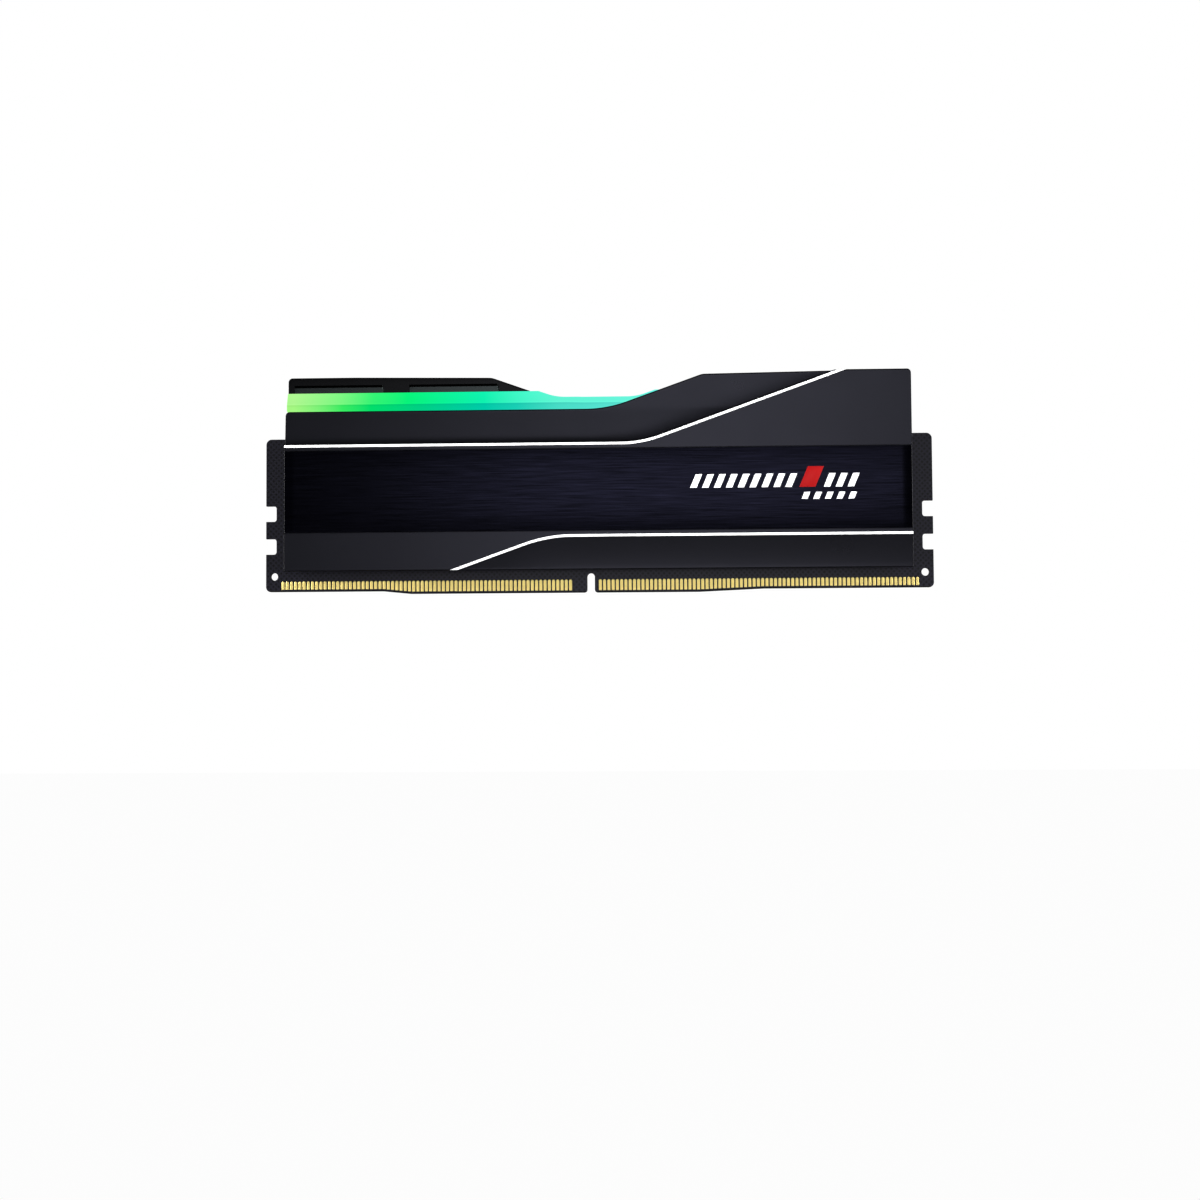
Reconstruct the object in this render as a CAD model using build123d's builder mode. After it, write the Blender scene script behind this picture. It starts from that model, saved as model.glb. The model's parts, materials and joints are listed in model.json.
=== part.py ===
from build123d import *
from math import cos, radians, tan
import os

# Desktop memory module: a notched circuit board with gold edge contacts, its chips, two equal
# aluminium heat-spreader shells that face each other, and a translucent light bar between them.
# X runs along the board, the front shell faces -Y, Z is up. The origin is under the middle of
# the module, at the height of the lowest board edge. Millimetres.

os.makedirs("parts", exist_ok=True)

# ---------------------------------------------------------------- driving dimensions
# circuit board
board_length = 133.35
board_height = 31.25
board_thickness = 1.27
board_top_radius = 1.1
board_foot_radius = 1.0
edge_bevel = 0.25
edge_step = 0.55             # how far the middle of the contact edge reaches below its two ends
left_ramp = (-43.0, -37.5)   # where the edge drops, seen from the front
right_ramp = (20.3, 33.0)    # where it rises again
key_x = -1.34
key_width = 1.55
key_height = 3.85
key_mouth_radius = 0.6
latch_heights = (9.62, 16.22)
latch_height = 3.15
latch_depth = 2.1
latch_radius = 0.55
tooling_hole_radius = 0.78
tooling_hole_inset = 1.65
tooling_hole_height = 3.6

# edge contacts
contact_pitch = 0.85
contact_width = 0.6
contact_thickness = 0.05
contact_top = 2.65
contact_lift = 0.2           # bare board below each contact
left_contacts = 69
right_contacts = 75
contact_gap = 5.95           # from the last left contact to the first right one, across the key
contact_span = 126.65        # first contact to last
contact_offset = 0.1         # middle of the contacts, right of the middle of the board

# heat-spreader shells
module_height = 43.8
module_thickness = 8.0
spreader_length = 125.0
spreader_foot = 4.6
low_edge_drop = 7.15         # from the crest of a shell down to its low edge
crest_fall = 0.35            # how far the crest dips from the upper line to its corner
crest_corner_x = 21.2
slope_angle = 19.6
sweep_radius = 25.0
crest_radius = 3.0
shell_corner_radius = 0.8
shoulder_clearance = 0.5     # from the board's top to the step inside a shell
bar_half_width = 0.9         # half of the gap between the shells above the board

# the flat main face, its two edge lines and the lower ground beyond them
upper_line_drop = 7.08       # from a shell's low edge down to its upper line
upper_line_corner_x = 9.0
upper_line_radius = 23.0
lower_line_rise = 6.68       # from a shell's foot up to its lower line
lower_line_corner_x = -9.75
lower_line_radius = 29.0
line_width = 0.5
line_depth = 0.25
line_proud = 0.03
ridge_step = 1.0             # drop from the main face to the ground just above the upper line
upper_ground_depth = 1.9     # the same at the shell's low edge and higher
lower_ground_depth = 1.0
scoop_radius = 0.8
lean_start_rise = 1.2        # how far above the upper line the ground starts to lean back

# brushed band let into the main face
band_line_gap = 1.0          # from the middle of each line to the band
band_end_inset = 0.05
band_thickness = 0.4
band_sink = 0.12
band_clearance = 0.1

# shallow slots in the inner face of a shell's crest
slot_length = 18.5
slot_height = 3.0
slot_depth = 0.4
slot_crest_drop = 1.55
slot_starts = (-61.2, -37.9)  # left ends, on the back shell
slot_slant = 0.8

# light bar
bar_end_gap = 0.1            # the bar is this much shorter than a shell at each end
bar_seat_gap = 0.1
bar_head_setback = 0.2       # bar's front face behind the shell's outer face
bar_crease_rise = 1.4        # from a shell's low edge
bar_top_rise = 3.85
bar_dip_rise = 2.55
bar_facet_run = 1.2          # how far the upper facet leans back
bar_dip_x = 11.7             # where the dip in the middle starts
bar_dip_radius = 11.0
bar_runout = (6.0, 2.5)      # the head tapers out between these distances from the middle
bar_corner_radius = 0.5

# chips and small parts
chip_width = 10.0
chip_depth = 11.0
chip_height = 1.1
chip_level = 15.5
chip_pitch = 11.5
chip_first_x = 21.5
pad_thickness = 0.5
pad_margin = 0.4
power_chip = (5.0, 5.0, 0.9)
inductor = (3.2, 2.6, 1.3)
inductor_pitch = 4.4
inductor_count = 3
hub_chip_size = (3.0, 2.0, 0.6)
controller_size = (4.0, 4.0, 0.8)
bulk_capacitor = (3.2, 1.6, 1.3)
small_capacitor = (1.0, 0.5, 0.5)
resistor = (1.0, 0.5, 0.35)
led = (1.6, 1.0, 0.8)
led_count = 8
led_pitch = 15.0
back_pad_height = 20.0
back_pad_length = 116.0

# ---------------------------------------------------------------- worked out from them
board_face = board_thickness / 2
low_edge = module_height - low_edge_drop
face_y = module_thickness / 2
inner_y = board_face + chip_height + pad_thickness
upper_ground_y = face_y - upper_ground_depth
ridge_ground_y = face_y - ridge_step
lower_ground_y = face_y - lower_ground_depth
shoulder_z = board_height + shoulder_clearance
upper_line_z = low_edge - upper_line_drop
lower_line_z = spreader_foot + lower_line_rise
band_low = lower_line_z + band_line_gap
band_high = upper_line_z - band_line_gap
slope = tan(radians(slope_angle))
half_turn = tan(radians(slope_angle / 2))
half_spreader = spreader_length / 2
far = board_length


def save(part, name):
    """Label one finished piece and write it as its own STEP file."""
    part.label = name
    export_step(part, f"parts/{name}.step")
    print(f"{name:28s} solids {len(part.solids()):4d}  volume {part.volume:10.3f}")


# ---------------------------------------------------------------- circuit board
def edge_height(x):
    """Height of the contact edge at x: low in the middle, one step up at both ends."""
    if x <= left_ramp[0] or x >= right_ramp[1]:
        return edge_step
    if x < left_ramp[1]:
        return edge_step * (left_ramp[1] - x) / (left_ramp[1] - left_ramp[0])
    if x > right_ramp[0]:
        return edge_step * (x - right_ramp[0]) / (right_ramp[1] - right_ramp[0])
    return 0.0


half_board = board_length / 2
with BuildPart() as circuit_board:
    with BuildSketch(Plane.XZ.offset(-board_face)):
        with BuildLine():
            Polyline(
                (-half_board, edge_step),
                (left_ramp[0], edge_step),
                (left_ramp[1], 0),
                (right_ramp[0], 0),
                (right_ramp[1], edge_step),
                (half_board, edge_step),
                (half_board, board_height),
                (-half_board, board_height),
                close=True,
            )
        make_face()
    extrude(amount=board_thickness)
    contact_edges = circuit_board.edges().filter_by(
        lambda e: e.center().Z < edge_step + 0.01 and abs(abs(e.center().Y) - board_face) < 0.01
    )
    chamfer(contact_edges, edge_bevel)
    end_edges = circuit_board.edges().filter_by(Axis.Y).filter_by(
        lambda e: abs(abs(e.center().X) - half_board) < 0.01
    )
    fillet(end_edges.filter_by(lambda e: e.center().Z > board_height / 2), board_top_radius)
    end_edges = circuit_board.edges().filter_by(Axis.Y).filter_by(
        lambda e: abs(abs(e.center().X) - half_board) < 0.01 and e.center().Z < board_height / 2
    )
    fillet(end_edges, board_foot_radius)
    with BuildSketch(Plane.XZ.offset(-board_face)):
        with Locations((key_x, 0)):
            SlotOverall(2 * key_height, key_width, rotation=90)
        for side in (-1, 1):
            for level in latch_heights:
                with Locations((side * half_board, level)):
                    RectangleRounded(2 * latch_depth, latch_height, latch_radius)
            with Locations((side * (half_board - tooling_hole_inset), tooling_hole_height)):
                Circle(tooling_hole_radius)
    extrude(amount=board_thickness, mode=Mode.SUBTRACT)
    mouth_edges = circuit_board.edges().filter_by(Axis.Y).filter_by(
        lambda e: abs(abs(e.center().X - key_x) - key_width / 2) < 0.01 and e.center().Z < edge_bevel + 0.01
    )
    fillet(mouth_edges, key_mouth_radius)
save(circuit_board.part, "circuit_board")

# ---------------------------------------------------------------- edge contacts
first_contact = contact_offset - contact_span / 2
first_right_contact = first_contact + (left_contacts - 1) * contact_pitch + contact_gap
contact_places = [first_contact + i * contact_pitch for i in range(left_contacts)]
contact_places += [first_right_contact + i * contact_pitch for i in range(right_contacts)]


def contact_row(plane):
    """One row of flat gold contacts with rounded upper ends, drawn on a face of the board."""
    with BuildPart() as row:
        with BuildSketch(plane):
            for x in contact_places:
                across = -x if plane.z_dir.Y > 0 else x
                foot = edge_height(x) + edge_bevel + contact_lift
                shoulder = contact_top - contact_width / 2
                with Locations((across, shoulder)):
                    Rectangle(contact_width, shoulder - foot, align=(Align.CENTER, Align.MAX))
                    Circle(contact_width / 2)
        extrude(amount=contact_thickness)
    return row.part


front_plane = Plane.XZ
back_plane = Plane(origin=(0, 0, 0), x_dir=(-1, 0, 0), z_dir=(0, 1, 0))
save(contact_row(front_plane.offset(board_face)), "contacts_front")
save(contact_row(back_plane.offset(board_face)), "contacts_back")


# ---------------------------------------------------------------- heat-spreader shells
def ground_above_upper_line(shift):
    """The area above the upper line, whose edge is moved up by shift, square to itself."""
    corner = (upper_line_corner_x - shift * half_turn, upper_line_z + shift)
    rise = 2 * module_height - corner[1]
    with BuildSketch() as area:
        with BuildLine():
            FilletPolyline(
                (-far, corner[1]),
                corner,
                (corner[0] + rise / slope, 2 * module_height),
                radius=upper_line_radius - shift,
            )
            Polyline(
                (corner[0] + rise / slope, 2 * module_height),
                (-far, 2 * module_height),
                (-far, corner[1]),
            )
        make_face()
    return area.sketch


def ground_below_lower_line(shift):
    """The area below the lower line, whose edge is moved up by shift, square to itself."""
    corner = (lower_line_corner_x - shift * half_turn, lower_line_z + shift)
    fall = corner[1] + module_height
    with BuildSketch() as area:
        with BuildLine():
            FilletPolyline(
                (far, corner[1]),
                corner,
                (corner[0] - fall / slope, -module_height),
                radius=lower_line_radius + shift,
            )
            Polyline(
                (corner[0] - fall / slope, -module_height),
                (far, -module_height),
                (far, corner[1]),
            )
        make_face()
    return area.sketch


crest_line_x = upper_line_corner_x + (module_height - upper_line_z) / slope
crest_corner_z = module_height - crest_fall
slope_foot_x = crest_corner_x - (crest_corner_z - low_edge) / slope

with BuildSketch() as shell_outline:
    with BuildLine():
        Polyline(
            (-half_spreader, spreader_foot),
            (half_spreader, spreader_foot),
            (half_spreader, module_height),
            (crest_line_x, module_height),
            (crest_corner_x, crest_corner_z),
            (slope_foot_x, low_edge),
            (-half_spreader, low_edge),
            close=True,
        )
    make_face()
    fillet(shell_outline.vertices().sort_by_distance((slope_foot_x, low_edge))[0], sweep_radius)
    fillet(shell_outline.vertices().sort_by_distance((crest_corner_x, crest_corner_z))[0], crest_radius)
    for corner in ((half_spreader, module_height), (-half_spreader, low_edge)):
        fillet(shell_outline.vertices().sort_by_distance(corner)[0], shell_corner_radius)


def rounded_foot(ground, way, floor_y):
    """Round the corner between the ground and the wall under its line; way is the wall's side."""
    with BuildPart() as rounded:
        add(ground)
        walls = rounded.faces().filter_by(
            lambda f: way * f.normal_at().Z > 0.5 and abs(f.normal_at().Y) < 0.01
        )
        feet = walls.edges().filter_by(
            lambda e: e.center().Y > -floor_y - 0.01 and abs(e.tangent_at(0.5).Y) < 0.5
        )
        fillet(feet, scoop_radius)
    return rounded.part


with BuildPart() as upper_ground:
    with BuildSketch(Plane.XZ.offset(upper_ground_y)):
        add(ground_above_upper_line(line_width / 2))
    extrude(amount=upper_ground_depth + 1)
    lean_start = upper_line_z + lean_start_rise
    with BuildSketch(Plane.YZ) as lean_profile:
        with BuildLine():
            Polyline(
                (-face_y - 1, 0),
                (-ridge_ground_y, 0),
                (-ridge_ground_y, lean_start),
                (-upper_ground_y, low_edge),
                (-upper_ground_y, 2 * module_height),
                (-face_y - 1, 2 * module_height),
                close=True,
            )
        make_face()
    extrude(amount=far, both=True, mode=Mode.INTERSECT)

with BuildPart() as lower_ground:
    with BuildSketch(Plane.XZ.offset(lower_ground_y)):
        add(ground_below_lower_line(-line_width / 2))
    extrude(amount=lower_ground_depth + 1)

upper_cut = rounded_foot(upper_ground.part, -1, ridge_ground_y)
lower_cut = rounded_foot(lower_ground.part, 1, lower_ground_y)


def line_strip(outer_area, inner_area):
    """The strip of the shell between two nested areas, as deep as the white line is let in."""
    with BuildPart() as strip:
        with BuildSketch(Plane.XZ.offset(face_y - line_depth)):
            add(outer_area)
            add(inner_area, mode=Mode.SUBTRACT)
            add(shell_outline.sketch, mode=Mode.INTERSECT)
        extrude(amount=line_depth + line_proud)
    return strip.part


trim_upper = line_strip(ground_above_upper_line(-line_width / 2), ground_above_upper_line(line_width / 2))
trim_lower = line_strip(ground_below_lower_line(line_width / 2), ground_below_lower_line(-line_width / 2))

band_length = spreader_length - 2 * band_end_inset
band_middle = (band_low + band_high) / 2
band_height = band_high - band_low

with BuildPart() as band_front:
    with BuildSketch(Plane.XZ.offset(face_y - band_sink - band_thickness)):
        with Locations((0, band_middle)):
            Rectangle(band_length, band_height)
    extrude(amount=band_thickness)

with BuildPart() as spreader_front:
    with BuildSketch(Plane.XZ.offset(bar_half_width)):
        add(shell_outline.sketch)
    extrude(amount=face_y - bar_half_width)
    # room for the board, its chips and the pads
    with BuildSketch(Plane.XZ.offset(bar_half_width)):
        with Locations((0, shoulder_z)):
            Rectangle(board_length, 2 * (shoulder_z - spreader_foot), align=(Align.CENTER, Align.MAX))
    extrude(amount=inner_y - bar_half_width, mode=Mode.SUBTRACT)
    add(upper_cut, mode=Mode.SUBTRACT)
    add(lower_cut, mode=Mode.SUBTRACT)
    # pocket for the band
    with BuildSketch(Plane.XZ.offset(face_y)):
        with Locations((0, band_middle)):
            Rectangle(spreader_length, band_height + 2 * band_clearance)
    extrude(amount=-band_sink - band_thickness, mode=Mode.SUBTRACT)
    add(trim_upper, mode=Mode.SUBTRACT)
    add(trim_lower, mode=Mode.SUBTRACT)
    # shallow slots in the inner face of the crest
    with BuildSketch(Plane.XZ.offset(bar_half_width)):
        for start in slot_starts:
            left = -start - slot_length
            top = module_height - slot_crest_drop
            with BuildLine():
                Polyline(
                    (left + slot_slant, top),
                    (left + slot_length, top),
                    (left + slot_length, top - slot_height),
                    (left, top - slot_height),
                    close=True,
                )
            make_face()
    extrude(amount=slot_depth, mode=Mode.SUBTRACT)
save(spreader_front.part, "spreader_front")

with BuildPart() as spreader_back:
    add(spreader_front.part, rotation=(0, 0, 180))
save(spreader_back.part, "spreader_back")

save(band_front.part, "band_front")
with BuildPart() as band_back:
    add(band_front.part, rotation=(0, 0, 180))
save(band_back.part, "band_back")

for trim, name in ((trim_upper, "trim_upper"), (trim_lower, "trim_lower")):
    save(trim, f"{name}_front")
    with BuildPart() as trim_back:
        add(trim, rotation=(0, 0, 180))
    save(trim_back.part, f"{name}_back")

# ---------------------------------------------------------------- light bar
half_bar = half_spreader - bar_end_gap
bar_foot = shoulder_z
bar_seat = low_edge + bar_seat_gap
bar_crease = low_edge + bar_crease_rise
bar_top = low_edge + bar_top_rise
bar_dip = low_edge + bar_dip_rise
bar_head_y = upper_ground_y - bar_head_setback
dip_foot_x = bar_dip_x - (bar_top - bar_dip) / slope

with BuildSketch() as bar_outline:
    with BuildLine():
        Polyline(
            (-half_bar, bar_foot),
            (half_bar, bar_foot),
            (half_bar, bar_top),
            (bar_dip_x, bar_top),
            (dip_foot_x, bar_dip),
            (-dip_foot_x, bar_dip),
            (-bar_dip_x, bar_top),
            (-half_bar, bar_top),
            close=True,
        )
    make_face()
    for side in (-1, 1):
        dip_foot = bar_outline.vertices().sort_by_distance((side * dip_foot_x, bar_dip))[0]
        fillet(dip_foot, bar_dip_radius)

with BuildPart() as light_bar:
    with BuildSketch(Plane.XY.offset(bar_foot)):
        Rectangle(2 * half_bar, 2 * bar_half_width)
    extrude(amount=bar_top - bar_foot)
    # one head on each half, wider than the stem, which tapers out towards the middle
    for side in (-1, 1):
        with BuildSketch(Plane.XY.offset(bar_seat)):
            with BuildLine():
                Polyline(
                    (side * half_bar, 0),
                    (side * half_bar, side * bar_head_y),
                    (side * bar_runout[0], side * bar_head_y),
                    (side * bar_runout[1], side * bar_half_width),
                    (side * bar_runout[1], 0),
                    close=True,
                )
            make_face()
        extrude(amount=bar_top - bar_seat)
    head_ends = light_bar.edges().filter_by(Axis.Z).filter_by(
        lambda e: abs(abs(e.center().X) - half_bar) < 0.01 and abs(e.center().Y) > bar_half_width
    )
    fillet(head_ends, bar_corner_radius)
    # the sloping upper facet of each head
    for side in (-1, 1):
        with BuildSketch(Plane.YZ):
            with BuildLine():
                Polyline(
                    (side * bar_head_y, bar_crease),
                    (side * (bar_head_y - bar_facet_run), bar_top),
                    (side * (bar_head_y - bar_facet_run), bar_top + 1),
                    (side * (bar_head_y + 1), bar_top + 1),
                    (side * (bar_head_y + 1), bar_crease),
                    close=True,
                )
            make_face()
        extrude(amount=side * half_bar, mode=Mode.SUBTRACT)
    with BuildSketch(Plane.XZ.offset(-face_y)):
        add(bar_outline.sketch)
    extrude(amount=module_thickness, mode=Mode.INTERSECT)
save(light_bar.part, "light_bar")


# ---------------------------------------------------------------- parts on the board
def blocks(name, size, places, base=board_face, face=Plane.XZ):
    """Equal rectangular pieces standing on the front of the board: size is X, Z and height."""
    with BuildPart() as group:
        with BuildSketch(face.offset(base)):
            with Locations(*places):
                Rectangle(size[0], size[1])
        extrude(amount=size[2])
    save(group.part, name)


chip_columns = [side * (chip_first_x + i * chip_pitch) for side in (-1, 1) for i in range(4)]
chip_columns.sort()
for number, x in enumerate(chip_columns, 1):
    blocks(f"memory_chip_{number}", (chip_width, chip_depth, chip_height), [(x, chip_level)])

chip_face = board_face + chip_height
pad_length = 3 * chip_pitch + chip_width + 2 * pad_margin
pad_x = chip_first_x + 1.5 * chip_pitch
for side, name in ((-1, "thermal_pad_left"), (1, "thermal_pad_right")):
    pad = (pad_length, chip_depth + 2 * pad_margin, inner_y - chip_face)
    blocks(name, pad, [(side * pad_x, chip_level)], base=chip_face)

power_level = chip_level + chip_depth / 2
blocks("power_chip", power_chip, [(0, power_level)])
power_pad_base = board_face + power_chip[2]
power_pad = (power_chip[0], power_chip[1], inner_y - power_pad_base)
blocks("thermal_pad_power", power_pad, [(0, power_level)], base=power_pad_base)

inductor_level = power_level + power_chip[1] / 2 + inductor[1]
for i in range(inductor_count):
    x = (i - (inductor_count - 1) / 2) * inductor_pitch
    blocks(f"power_inductor_{i + 1}", inductor, [(x, inductor_level)])

blocks("hub_chip", hub_chip_size, [(-2 * hub_chip_size[0], chip_level - chip_depth / 2)])
controller_x = 2.5 * controller_size[0]
blocks("light_controller", controller_size, [(controller_x, power_level)])

bulk_columns = [side * (power_chip[0] + i * 2.4 * bulk_capacitor[1]) for side in (-1, 1) for i in range(2)]
bulk_level = power_level - power_chip[1] / 2 - 2 * bulk_capacitor[1]
blocks("bulk_capacitors", bulk_capacitor, [(x, bulk_level) for x in bulk_columns])

capacitor_reach = chip_depth / 2 + 2 * small_capacitor[1]
capacitor_places = [
    (x + step * chip_width / 3, chip_level + way * capacitor_reach)
    for x in chip_columns
    for step in (-1, 0, 1)
    for way in (-1, 1)
]
blocks("decoupling_capacitors", small_capacitor, capacitor_places)

resistor_level = chip_level - capacitor_reach - 3 * resistor[1]
resistor_places = [
    (x + step * chip_width / 4, resistor_level) for x in chip_columns for step in (-1.5, -0.5, 0.5, 1.5)
]
blocks("termination_resistors", resistor, resistor_places)

led_level = board_height - 0.1 - led[1] / 2
for i in range(led_count):
    x = (i - (led_count - 1) / 2) * led_pitch
    blocks(f"led_{i + 1}", led, [(x, led_level)])

back_pad = (back_pad_length, back_pad_height, inner_y - board_face)
blocks("thermal_pad_back", back_pad, [(0, chip_level)], face=back_plane)
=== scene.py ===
# %% [markdown]
# # A desktop memory module, built around its CAD frame
# The real object is a thin circuit board with gold edge contacts, held between two equal black
# aluminium shells. A milky light bar sits between the shells' upper edges. The CAD model gives the
# true sizes and places. This lesson adds what the eye reads: scooped metal, brushed bands, enamel
# lines, hatched copper under solder mask, gold, and a bar that glows from green to turquoise.
# The first cell loads the imported model and keeps its parts and its record.

# %% Load the frame
import json
import math

import bmesh
import bpy
import numpy as np
from mathutils import Matrix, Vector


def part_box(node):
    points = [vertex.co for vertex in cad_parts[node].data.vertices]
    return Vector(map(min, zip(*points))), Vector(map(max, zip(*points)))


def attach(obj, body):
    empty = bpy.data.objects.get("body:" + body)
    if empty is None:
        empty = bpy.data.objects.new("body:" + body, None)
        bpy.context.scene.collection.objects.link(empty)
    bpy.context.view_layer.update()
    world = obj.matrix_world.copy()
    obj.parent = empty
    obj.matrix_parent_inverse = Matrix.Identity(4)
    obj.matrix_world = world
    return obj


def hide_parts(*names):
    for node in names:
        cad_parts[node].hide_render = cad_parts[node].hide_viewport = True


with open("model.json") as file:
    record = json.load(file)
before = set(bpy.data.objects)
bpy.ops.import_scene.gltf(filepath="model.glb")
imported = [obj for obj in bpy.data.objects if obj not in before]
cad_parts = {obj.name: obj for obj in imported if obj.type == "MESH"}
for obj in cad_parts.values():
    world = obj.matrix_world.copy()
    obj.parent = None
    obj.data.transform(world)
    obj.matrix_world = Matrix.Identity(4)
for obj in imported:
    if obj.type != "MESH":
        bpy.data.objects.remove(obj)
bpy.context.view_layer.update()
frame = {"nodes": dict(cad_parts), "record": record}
MM = 0.001

# %% [markdown]
# ## Colour, nodes and meshes
# Blender's shaders want linear colour, while a maker's swatch is an sRGB hex value, so one function
# turns the one into the other. A few small functions each add one kind of shader node and hand back
# its result, so that a finish reads as a short recipe. One more turns arrays of points and faces
# into an object, and turns the faces outwards by the sign of the volume they enclose.

# %% Small tools
def linear(swatch):
    """An sRGB hex swatch as linear RGBA.

    A channel v is v / 12.92 up to 0.04045, and ((v + 0.055) / 1.055) ** 2.4 above it.
    """
    value = np.array([int(swatch[i:i + 2], 16) for i in (1, 3, 5)]) / 255
    light = np.where(value <= 0.04045, value / 12.92, ((value + 0.055) / 1.055) ** 2.4)
    return (*[float(v) for v in light], 1.0)


def add(tree, kind, inputs=None, **settings):
    """Adds one node: settings are its properties, inputs maps a socket to a value or to an output."""
    node = tree.nodes.new(kind)
    for name, value in settings.items():
        setattr(node, name, value)
    for key, value in (inputs or {}).items():
        if isinstance(value, bpy.types.NodeSocket):
            tree.links.new(value, node.inputs[key])
        else:
            node.inputs[key].default_value = value
    return node


def new_material(name):
    """An empty node material and its tree."""
    material = bpy.data.materials.new(name)
    material.use_nodes = True
    material.node_tree.nodes.clear()
    return material, material.node_tree


def place_of(tree):
    """The place in the object's own axes, in metres."""
    return add(tree, "ShaderNodeTexCoord").outputs["Object"]


def axes_of(tree):
    """The same place as three outputs, X, Y and Z."""
    return add(tree, "ShaderNodeSeparateXYZ", {0: place_of(tree)}).outputs


def noise(tree, size_mm, detail=3.0, roughness=0.5):
    """Noise from 0 to 1 whose largest lumps are about size_mm across."""
    node = add(tree, "ShaderNodeTexNoise", {
        "Vector": place_of(tree), "Scale": 1 / (size_mm * MM), "Detail": detail, "Roughness": roughness})
    return node.outputs["Fac"]


def maths(tree, operation, *values):
    """The result of one operation on one or two values."""
    return add(tree, "ShaderNodeMath", dict(enumerate(values)), operation=operation).outputs[0]


def span(tree, value, low, high, to_low=0.0, to_high=1.0):
    """Carries a value from one span to another, and holds it at the ends."""
    node = add(tree, "ShaderNodeMapRange", {
        "Value": value, "From Min": low, "From Max": high, "To Min": to_low, "To Max": to_high})
    return node.outputs["Result"]


def mix(tree, share, first, second, blend="MIX"):
    """The colour at a share of the way between two, or their product when blend is MULTIPLY.

    A Mix node has sockets for every kind of data: 6 and 7 are its two colours, and output 2 the result.
    """
    node = add(tree, "ShaderNodeMix", {0: share, 6: first, 7: second}, data_type="RGBA", blend_type=blend)
    return node.outputs[2]


def ramp(tree, value, stops, interpolation="LINEAR"):
    """The colour of a ramp at a value; stops are pairs of a position and a linear colour, in order."""
    node = add(tree, "ShaderNodeValToRGB", {"Fac": value})
    node.color_ramp.interpolation = interpolation
    elements = node.color_ramp.elements
    for index, (position, colour) in enumerate(stops):
        element = elements[index] if index < len(elements) else elements.new(position)
        element.position = position
        element.color = colour
    return node.outputs["Color"]


def bump(tree, height, strength, depth_mm=0.02):
    """A normal bumped by a height from 0 to 1."""
    node = add(tree, "ShaderNodeBump", {"Height": height, "Strength": strength, "Distance": depth_mm * MM})
    return node.outputs["Normal"]


def finish_tree(tree, inputs):
    """Ends a material's tree with a Principled shader that takes these inputs."""
    shader = add(tree, "ShaderNodeBsdfPrincipled", inputs)
    add(tree, "ShaderNodeOutputMaterial", {"Surface": shader.outputs[0]})


def piece(name, points, faces, material, smooth_angle=35.0):
    """Makes one closed object from points in millimetres and lists of corner numbers."""
    mesh = bpy.data.meshes.new(name)
    mesh.from_pydata(np.asarray(points, float) * MM, [], [list(map(int, face)) for face in faces])
    work = bmesh.new()
    work.from_mesh(mesh)
    weld = 0.0005 * MM
    bmesh.ops.remove_doubles(work, verts=work.verts, dist=weld)
    bmesh.ops.dissolve_degenerate(work, edges=work.edges, dist=weld)
    if work.calc_volume(signed=True) < 0:
        bmesh.ops.reverse_faces(work, faces=work.faces)
    work.to_mesh(mesh)
    work.free()
    mesh.shade_smooth()
    mesh.set_sharp_from_angle(angle=math.radians(smooth_angle))
    mesh.materials.append(material)
    thing = bpy.data.objects.new(name, mesh)
    bpy.context.scene.collection.objects.link(thing)
    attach(thing, "root")
    print(f"{name}: {len(mesh.vertices)} points, {len(mesh.polygons)} faces")
    return thing


def half_turn(points):
    """The same points turned half a turn about Z, as the back shell is to the front one."""
    return np.asarray(points) * (-1.0, -1.0, 1.0)


def tube_faces(columns, rows, start=0):
    """Quads of a grid of closed loops, row-major, with an end cap of one polygon at each end."""
    i, j = np.meshgrid(np.arange(columns - 1), np.arange(rows), indexing="ij")
    k = (j + 1) % rows
    quads = np.stack([i * rows + j, i * rows + k, (i + 1) * rows + k, (i + 1) * rows + j], -1)
    quads = quads.reshape(-1, 4) + start
    first = np.arange(rows)[::-1] + start
    last = np.arange(rows) + (columns - 1) * rows + start
    return [*quads.tolist(), first.tolist(), last.tolist()]


# %% [markdown]
# ## The sizes that the shapes follow
# Most sizes come from the frame: each CAD node's box says where it starts and ends. The few that a
# box can't say, such as the slope of the shells' diagonal and the two edge lines, are named here in
# millimetres, as the designer would name them. The names with y are distances from the middle plane.

# %% Sizes
def box_mm(node):
    """A CAD node's lowest and highest corner, in millimetres."""
    low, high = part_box(node)
    return np.array(low) / MM, np.array(high) / MM


shell_low, shell_high = box_mm("spreader_front")
band_low, band_high = box_mm("band_front")
bar_low, bar_high = box_mm("light_bar")
half_length = shell_high[0]
foot = shell_low[2]
crest = shell_high[2]
face_y = -shell_low[1]
gap_y = -shell_high[1]
board_y = -box_mm("circuit_board")[0][1]
cavity_y = -box_mm("thermal_pad_left")[0][1]
shoulder_z = bar_low[2]

edge_drop, upper_line_drop, lower_line_rise = 7.15, 7.08, 6.68
low_edge = crest - edge_drop
slope_angle = math.radians(19.6)
slope, half_slope, tilt = math.tan(slope_angle), math.tan(slope_angle / 2), math.cos(slope_angle)
crest_corner_x, crest_fall = 21.2, 0.35
crest_corner = (crest_corner_x, crest - crest_fall)
sweep_radius, crest_radius, corner_radius = 25.0, 3.0, 0.8
line_width, line_depth = 0.5, 0.25
upper_line = (9.0, low_edge - upper_line_drop)
lower_line = (-9.75, foot + lower_line_rise)
upper_radius, lower_radius = 23.0, 29.0
print(f"shell {2 * half_length:.1f} long, foot {foot:.2f}, low edge {low_edge:.2f}, crest {crest:.2f}")


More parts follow.
